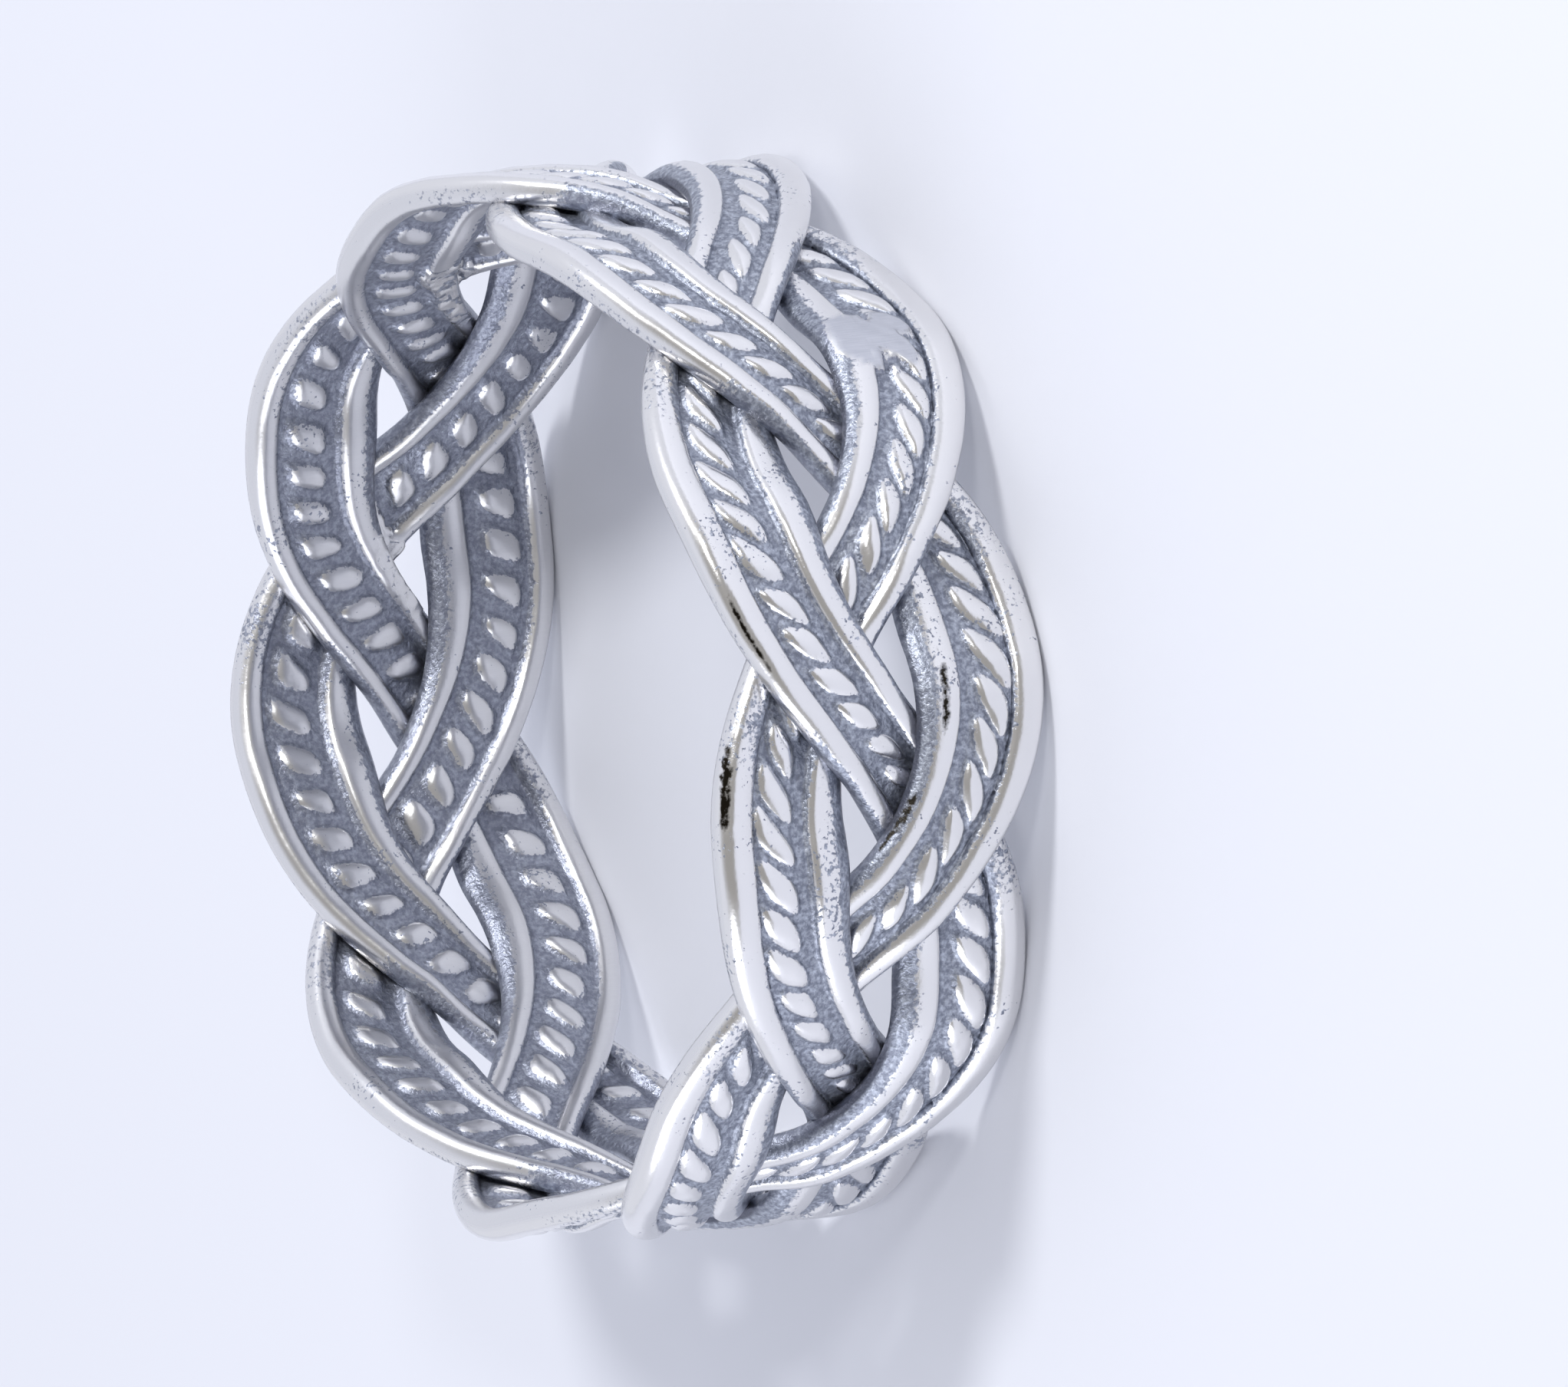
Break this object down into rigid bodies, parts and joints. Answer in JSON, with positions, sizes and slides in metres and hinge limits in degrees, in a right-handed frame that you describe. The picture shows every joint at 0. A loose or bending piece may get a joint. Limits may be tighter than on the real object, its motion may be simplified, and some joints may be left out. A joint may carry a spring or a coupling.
{
  "type": "braided band ring",
  "caption": "Wide openwork finger ring of three flat strands plaited once round, each a twisted rope soldered between two plain edge wires.",
  "frame": {"origin": "on the axis of the finger hole, level with the rim that the ring lies on", "axes": "+Z along the axis of the finger hole, up from the surface the ring lies on; +X 20 degrees before the first lobe on the upper rim"},
  "size_m": [0.0204, 0.0206, 0.007],
  "materials": {
    "oxidised_silver": "sterling silver, polished on the wires and the high points of the rope, darkened to blue-grey in the grooves"
  },
  "bodies": {
    "root": {"first_strand": "oxidised_silver", "second_strand": "oxidised_silver", "third_strand": "oxidised_silver"}
  },
  "joints": []
}
